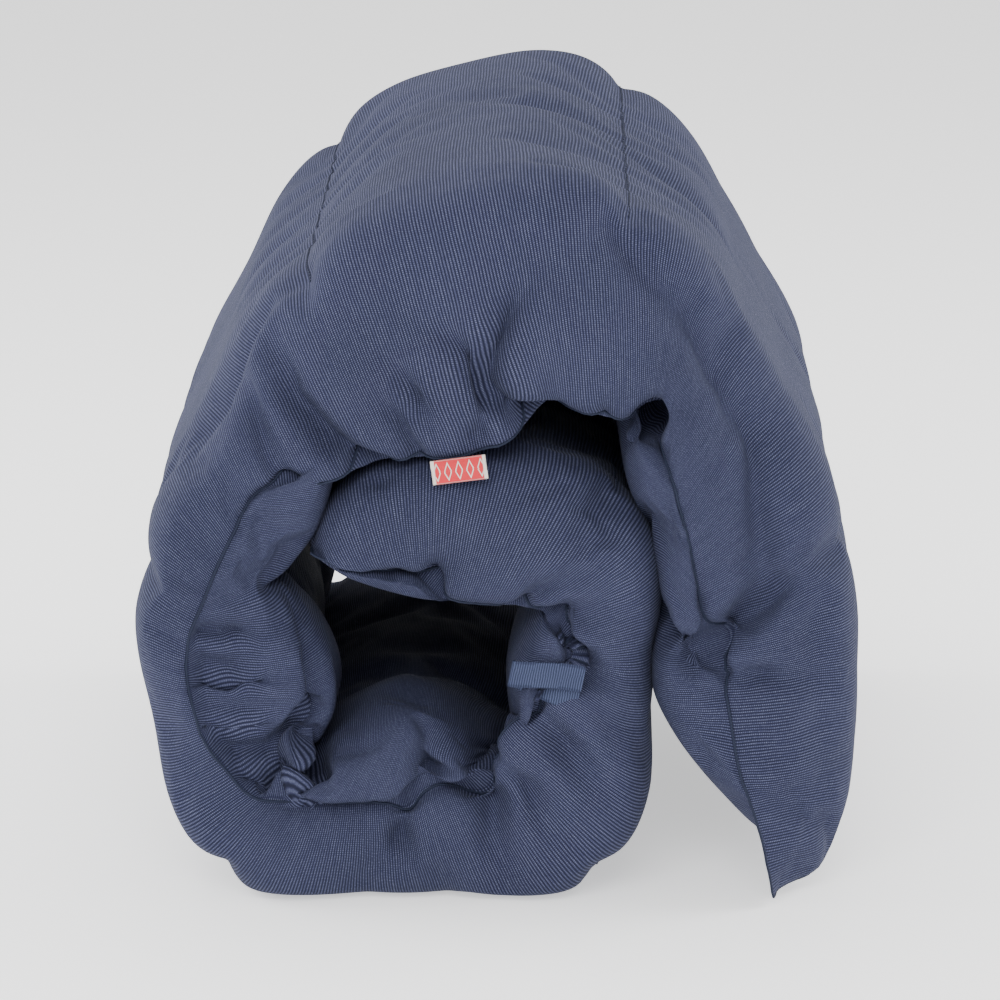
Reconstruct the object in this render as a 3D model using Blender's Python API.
"""Roll-up padded mat: a fibre-filled mat sewn into eight sections, rolled up and lying on its lowest section.

The mat lies in its rolled shape. X is across the roll, Y along its axis (the mat's width) and Z is up.
Sections are numbered from the free outer end, which hangs down on the right, to the inner end in the
middle of the roll. Each sewn channel line between two sections is a live hinge, parallel to Y.
"""

import math

import bmesh
import bpy
from mathutils import Vector

# Driving sizes, in metres.
MAT_WIDTH = 0.580
CLOTH = 0.0010  # thickness of one cover sheet
GAP = 0.0004  # clearance between pieces that touch
SEAM_RADIUS = 0.0011  # thread and seam allowance along a channel line or an edge
BENT_THREAD = 1.15  # a thread stands out this much more where its line bends
EDGE_ROUND = 0.085  # how far in from the side edges the padding thins out
EDGE_CURL = 0.170  # how far in from the side edges the mat curls into the roll
CHANNEL_SHARE = 0.86  # the sewn channel lines stop at this share of the way to the side edges
BACK_CURL = 0.35  # the back edge curls in by this share of the front edge's curl

# Each section: straight length between its channel lines, height of its outer and inner face over that line.
SECTIONS = (
    (0.228, 0.030, 0.058),
    (0.240, 0.038, 0.050),
    (0.190, 0.066, 0.030),
    (0.205, 0.036, 0.048),
    (0.183, 0.044, 0.044),
    (0.210, 0.052, 0.044),
    (0.205, 0.044, 0.036),
    (0.172, 0.044, 0.034),
)
BENDS_DEG = (32, 69, 50, 41, 77, 88, 99)  # turn of the roll at each channel line
LYING = 5  # index of the section that lies on the floor, with its length level
LYING_START_X = -0.152

# How far each channel line, and each end of the mat, is drawn in at the front edge: along X and Z.
FRONT_CURL = (
    (-0.022, 0.0),
    (-0.070, -0.040),
    (0.025, -0.118),
    (0.008, -0.106),
    (0.020, -0.012),
    (0.012, 0.016),
    (-0.010, 0.028),
    (0.016, -0.012),
    (0.0, 0.0),
)

GRID_LONG = 7  # facets along a section
GRID_SHARES = (-1.0, -0.96, -0.86, -0.70, -0.41, 0.0, 0.41, 0.70, 0.86, 0.96, 1.0)
FLAT_SHARE = 0.78  # the lying section's outer face is pressed flat above this share of its height

LABEL_WIDTH = 0.036
LABEL_HEIGHT = 0.0155
LABEL_THICK = 0.0012
LABEL_SECTION = 2
LABEL_PLACE = 0.62  # share of its section's front edge

LOOP_SECTION = 6
LOOP_PLACE = 0.52
LOOP_WIDTH = 0.020
LOOP_REACH = 0.040
LOOP_BEND = 0.0050  # outer radius of the tape's turned end
LOOP_DROP = 0.012  # how much lower the tape's back strand is sewn in
LOOP_FACETS = 8
TAPE = 0.0016

HEM_SECTION = 6
HEM_CELLS = (3, 5)  # facets of its section that the hem runs over
HEM_THICK = 0.0020
HEM_STITCHES = 6
HEM_CLEAR = GAP * 1.5  # clearance between the lining and the hem
STITCH_CLEAR = GAP * 2  # clearance between the hem and its stitches
STITCH_INSET = 0.1  # a stitch starts and ends at this share of the hem's width
STITCH_RADIUS = 0.0007

NAVY = (0.055, 0.070, 0.130)
NAVY_DARK = (0.030, 0.038, 0.075)
FIBRE = (0.85, 0.86, 0.86)
RED = (0.75, 0.06, 0.08)
TAPE_BLUE = (0.060, 0.080, 0.150)

SET_BACK = SEAM_RADIUS * BENT_THREAD + GAP  # a section's cloth stops this far from its channel line
SIDE = MAT_WIDTH / 2


def clear_scene():
    for old in list(bpy.data.objects):
        bpy.data.objects.remove(old)


def material(name, colour, roughness):
    made = bpy.data.materials.new(name)
    made.use_nodes = True
    shader = made.node_tree.nodes["Principled BSDF"]
    shader.inputs["Base Color"].default_value = (*colour, 1)
    shader.inputs["Roughness"].default_value = roughness
    shader.inputs["Metallic"].default_value = 0
    return made


def roll_lines():
    """The channel lines' places in X and Z, with the mat's two ends, walked out from the lying section."""
    lines = [None] * (len(SECTIONS) + 1)
    lines[LYING] = Vector((LYING_START_X, SECTIONS[LYING][1] * FLAT_SHARE + CLOTH + GAP / 2))
    heading = 0.0
    for i in range(LYING, len(SECTIONS)):
        step = Vector((math.cos(heading), math.sin(heading))) * SECTIONS[i][0]
        lines[i + 1] = lines[i] + step
        if i < len(BENDS_DEG):
            heading += math.radians(BENDS_DEG[i])
    heading = 0.0
    for i in range(LYING - 1, -1, -1):
        heading -= math.radians(BENDS_DEG[i])
        step = Vector((math.cos(heading), math.sin(heading))) * SECTIONS[i][0]
        lines[i] = lines[i + 1] - step
    return lines


def smooth(share):
    share = min(max(share, 0.0), 1.0)
    return share * share * (3 - 2 * share)


def curl_at(y):
    """How much of the front edge's curl the mat has at y, from 0 in the middle to 1 at the front edge."""
    inward = (abs(y) - (SIDE - EDGE_CURL)) / EDGE_CURL
    return smooth(inward) * (1.0 if y < 0 else BACK_CURL)


def fullness(y):
    """Share of its full thickness that the padding has at y."""
    inward = max(0.0, (abs(y) - (SIDE - EDGE_ROUND)) / EDGE_ROUND)
    return math.sqrt(max(0.0, 1 - min(inward, 1.0) ** 2))


def line_at(lines, k, y):
    """Channel line k, or end of the mat, at y: in X and Z."""
    return lines[k] + Vector(FRONT_CURL[k]) * curl_at(y)


def turn_at(lines, k, y):
    """How far the mat turns at channel line k, in radians, positive towards its inner face."""
    if k in (0, len(lines) - 1):
        return 0.0
    before = line_at(lines, k, y) - line_at(lines, k - 1, y)
    after = line_at(lines, k + 1, y) - line_at(lines, k, y)
    return before.angle_signed(after) * -1


def mitre(turn, offset):
    """How far from its channel line a face at this offset has to stop, to stay clear of the next section."""
    depth = -offset if turn > 0 else offset
    if depth <= 0:
        return SET_BACK
    half = abs(turn) / 2
    return max(SET_BACK, depth * math.tan(half) + GAP / 2 / math.cos(half))


class Section:
    """One sewn section of the mat, between two channel lines."""

    def __init__(self, index, lines):
        self.index = index
        self.lines = lines
        self.outer, self.inner = SECTIONS[index][1:]

    def heights(self, share, y):
        """Height of the padding's outer and inner face over the middle layer."""
        bulge = math.sin(math.pi * share) * fullness(y)
        outer = self.outer * bulge
        if self.index == LYING:
            outer = min(outer, self.outer * FLAT_SHARE)
        return outer, self.inner * bulge

    def point(self, share, y, offset):
        """A point of the section: share runs from 0 to 1 between its two ends, and offset is outwards."""
        start, end = (line_at(self.lines, self.index + k, y) for k in (0, 1))
        turns = [turn_at(self.lines, self.index + k, y) for k in (0, 1)]
        along = (end - start).normalized()
        outward = Vector((along.y, -along.x))
        length = (end - start).length
        run = SET_BACK + share * (length - 2 * SET_BACK)
        run = max(run, mitre(turns[0], offset))
        run = min(run, length - mitre(turns[1], offset))
        flat = start + along * run + outward * offset
        return Vector((flat.x, y, flat.y))


def add(data, name, pivot):
    """An object of this mesh or curve, hung on its section's pivot."""
    made = bpy.data.objects.new(name, data)
    made.parent = pivot
    bpy.context.scene.collection.objects.link(made)
    return made


def add_pivot(name, place, parent, parent_place):
    """An empty at a live hinge. Turning it about Y turns its section and every section beyond it."""
    pivot = add(None, name, parent)
    pivot.location = place - parent_place
    return pivot


def finish(bm, name, surface, pivot, place):
    """A named object from a bmesh in world places, with its faces outwards and its origin on its pivot."""
    bmesh.ops.recalc_face_normals(bm, faces=bm.faces)
    if bm.calc_volume(signed=True) < 0:
        bmesh.ops.reverse_faces(bm, faces=bm.faces)
    bmesh.ops.translate(bm, vec=-place, verts=bm.verts)
    mesh = bpy.data.meshes.new(name)
    bm.to_mesh(mesh)
    bm.free()
    mesh.materials.append(surface)
    mesh.shade_smooth()
    mesh.set_sharp_from_angle(angle=math.radians(40))
    return add(mesh, name, pivot)


def slab(section, places, widths, low, high, name, surface):
    """A closed slab over a grid of one section: low and high give its faces' offsets from the middle layer."""
    bm = bmesh.new()
    bmesh.ops.create_grid(bm, x_segments=len(places) - 1, y_segments=len(widths) - 1, size=1)
    below = list(bm.verts)
    copied = bmesh.ops.extrude_face_region(bm, geom=list(bm.faces))
    above = [item for item in copied["geom"] if isinstance(item, bmesh.types.BMVert)]
    for verts, offset in ((below, low), (above, high)):
        for vert in verts:
            place = places[round((vert.co.x + 1) / 2 * (len(places) - 1))]
            y = widths[round((vert.co.y + 1) / 2 * (len(widths) - 1))]
            vert.co = section.point(place, y, offset(place, y))
    bmesh.ops.triangulate(bm, faces=bm.faces)
    return finish(bm, name, surface, section.pivot, section.place)


def cord(points, radius, name, surface, section):
    """A round thread with closed ends, through the points."""
    curve = bpy.data.curves.new(name, "CURVE")
    curve.dimensions = "3D"
    curve.bevel_depth = radius
    curve.bevel_resolution = 1
    curve.use_fill_caps = True
    spline = curve.splines.new("POLY")
    spline.points.add(len(points) - 1)
    for held, point in zip(spline.points, points):
        held.co = (*(Vector(point) - section.place), 1)
    curve.materials.append(surface)
    return add(curve, name, section.pivot)


def hang_sections(sections, lines):
    """Gives each section its pivot: the lying section's is the root, and the others chain away from it."""
    places = {i: Vector((lines[i].x, 0, lines[i].y)) for i in range(len(lines))}
    root = sections[LYING]
    root.place = places[LYING]
    root.pivot = add_pivot("pivot_lying", root.place, None, Vector((0, 0, 0)))
    for i in [*range(LYING - 1, -1, -1), *range(LYING + 1, len(sections))]:
        inner = i > LYING
        nearer = sections[i - 1] if inner else sections[i + 1]
        sections[i].place = places[i] if inner else places[i + 1]
        sections[i].pivot = add_pivot(f"pivot_{i + 1}", sections[i].place, nearer.pivot, nearer.place)


def make_sections(sections, cover, lining, fibre):
    """The outer sheet, the inner sheet and the fibre batt between them, for each section."""
    places = [k / GRID_LONG for k in range(GRID_LONG + 1)]
    widths = [SIDE * share for share in GRID_SHARES]
    for s in sections:
        number = s.index + 1
        slab(
            s, places, widths,
            lambda t, y, s=s: GAP / 2 + s.heights(t, y)[0],
            lambda t, y, s=s: GAP / 2 + CLOTH + s.heights(t, y)[0],
            f"outer_sheet_{number}", cover,
        )
        slab(
            s, places, widths,
            lambda t, y, s=s: -GAP / 2 - CLOTH - s.heights(t, y)[1],
            lambda t, y, s=s: -GAP / 2 - s.heights(t, y)[1],
            f"inner_sheet_{number}", lining,
        )
        slab(
            s, places[1:-1], widths[1:-1],
            lambda t, y, s=s: GAP / 2 - s.heights(t, y)[1],
            lambda t, y, s=s: s.heights(t, y)[0] - GAP / 2,
            f"wadding_{number}", fibre,
        )


def make_seams(sections, lines, thread):
    """Side seams on both edges of each section, a sewn line in each channel, and the two end seams."""
    edge = SIDE + GAP + SEAM_RADIUS
    for s in sections:
        for side, word in ((-1, "front"), (1, "back")):
            start, end = (line_at(lines, s.index + k, side * SIDE) for k in (0, 1))
            along = (end - start).normalized() * (SET_BACK + 2 * SEAM_RADIUS)
            points = [(p.x, side * edge, p.y) for p in (start + along, end - along)]
            cord(points, SEAM_RADIUS, f"side_seam_{word}_{s.index + 1}", thread, s)
    last = len(sections)
    names = {0: "outer_end_seam", last: "inner_end_seam"}
    for k in range(last + 1):
        reach = 1 if k in names else CHANNEL_SHARE
        points = []
        for y in [SIDE * share for share in GRID_SHARES if abs(share) <= reach]:
            p = line_at(lines, k, y)
            points.append((p.x, y, p.y))
        holder = sections[k] if k <= LYING else sections[k - 1]
        cord(points, SEAM_RADIUS, names.get(k, f"channel_seam_{k}"), thread, holder)


def seam_place(section, share):
    """A point on a section's front seam, with the seam's direction and the way into the roll from it."""
    start, end = (line_at(section.lines, section.index + k, -SIDE) for k in (0, 1))
    point = start + (end - start) * share
    along = (end - start).normalized()
    front = -(SIDE + GAP + 2 * SEAM_RADIUS + GAP)
    return Vector((point.x, front, point.y)), Vector((along.x, 0, along.y)), Vector((-along.y, 0, along.x))


def make_label(section, surface):
    """The woven label, sewn by its top edge to the front seam and hanging in front of it."""
    place, along, inward = seam_place(section, LABEL_PLACE)
    bm = bmesh.new()
    bmesh.ops.create_cube(bm, size=1)
    for vert in bm.verts:
        across, thick, down = vert.co.x * LABEL_WIDTH, vert.co.y - 0.5, vert.co.z + 0.5
        vert.co = place + along * across + Vector((0, thick * LABEL_THICK, 0))
        vert.co += inward * down * LABEL_HEIGHT
    add_small(bm, "woven_label", surface, section, place)


def make_loop(section, surface):
    """The ribbed tape loop: one strip folded in two, both ends sewn to the front seam."""
    place, along, inward = seam_place(section, LOOP_PLACE)
    path = [(0.0, 0.0), (LOOP_REACH, 0.0)]
    for step in range(1, LOOP_FACETS + 1):
        angle = math.pi * step / LOOP_FACETS
        path.append((LOOP_REACH + LOOP_BEND * math.sin(angle), LOOP_BEND * (math.cos(angle) - 1)))
    path.append((0.0, -2 * TAPE - GAP))
    bm = bmesh.new()
    verts = []
    for k, (out, y) in enumerate(path):
        drop = LOOP_DROP * k / (len(path) - 1) - LOOP_DROP / 2
        verts.append(bm.verts.new(place + inward * out + Vector((0, y, 0)) + along * (drop - LOOP_WIDTH / 2)))
    edges = [bm.edges.new(pair) for pair in zip(verts, verts[1:])]
    widened = bmesh.ops.extrude_edge_only(bm, edges=edges)
    moved = [item for item in widened["geom"] if isinstance(item, bmesh.types.BMVert)]
    bmesh.ops.translate(bm, vec=along * LOOP_WIDTH, verts=moved)
    bmesh.ops.recalc_face_normals(bm, faces=bm.faces)
    bmesh.ops.solidify(bm, geom=list(bm.faces), thickness=TAPE)
    bmesh.ops.triangulate(bm, faces=bm.faces)
    add_small(bm, "tape_loop", surface, section, place)


def add_small(bm, name, surface, section, place):
    """A trim piece on its own pivot, which hangs on its section's pivot."""
    pivot = add_pivot(f"pivot_{name}", place, section.pivot, section.place)
    finish(bm, name, surface, pivot, place)


def make_hem(section, lining, thread):
    """The gathered hem on the inner face beside the front seam, and the bar stitches across it."""
    first, last = HEM_CELLS
    places = [k / GRID_LONG for k in range(first, last + 1)]
    widths = [SIDE * share for share in GRID_SHARES[1:3]]

    def under(t, y):
        return -HEM_CLEAR - CLOTH - section.heights(t, y)[1]

    slab(
        section, places, widths, lambda t, y: under(t, y) - HEM_THICK, under,
        "gathered_hem", lining,
    )
    for k in range(HEM_STITCHES):
        share = (first + (last - first) * (k + 0.5) / HEM_STITCHES) / GRID_LONG
        run = []
        for y in widths:
            before, after = math.floor(share * GRID_LONG) / GRID_LONG, math.ceil(share * GRID_LONG) / GRID_LONG
            part = (share - before) / (after - before)
            top = -HEM_THICK - STITCH_CLEAR - STITCH_RADIUS
            low = section.point(before, y, under(before, y) + top)
            run.append(low.lerp(section.point(after, y, under(after, y) + top), part))
        ends = [run[0].lerp(run[1], STITCH_INSET), run[0].lerp(run[1], 1 - STITCH_INSET)]
        cord(ends, STITCH_RADIUS, f"hem_stitch_{k + 1}", thread, section)


def centre_on_origin(root):
    """Moves the whole mat so that its box stands centred on the origin."""
    bpy.context.view_layer.update()
    graph = bpy.context.evaluated_depsgraph_get()
    corners = []
    for made in bpy.context.scene.objects:
        if made.type == "EMPTY":
            continue
        mesh = made.evaluated_get(graph).to_mesh()
        corners += [made.matrix_world @ vert.co for vert in mesh.vertices]
        made.evaluated_get(graph).to_mesh_clear()
    for axis in (0, 1):
        values = [corner[axis] for corner in corners]
        root.location[axis] -= (min(values) + max(values)) / 2


clear_scene()
lines = roll_lines()
sections = [Section(i, lines) for i in range(len(SECTIONS))]
hang_sections(sections, lines)
cover = material("cover_cloth", NAVY, 0.85)
lining = material("lining_cloth", NAVY, 0.88)
fibre = material("fibre_fill", FIBRE, 0.95)
thread = material("thread", NAVY_DARK, 0.7)
make_sections(sections, cover, lining, fibre)
make_seams(sections, lines, thread)
make_label(sections[LABEL_SECTION], material("label_weave", RED, 0.6))
make_loop(sections[LOOP_SECTION], material("ribbed_tape", TAPE_BLUE, 0.75))
make_hem(sections[HEM_SECTION], lining, thread)
centre_on_origin(sections[LYING].pivot)
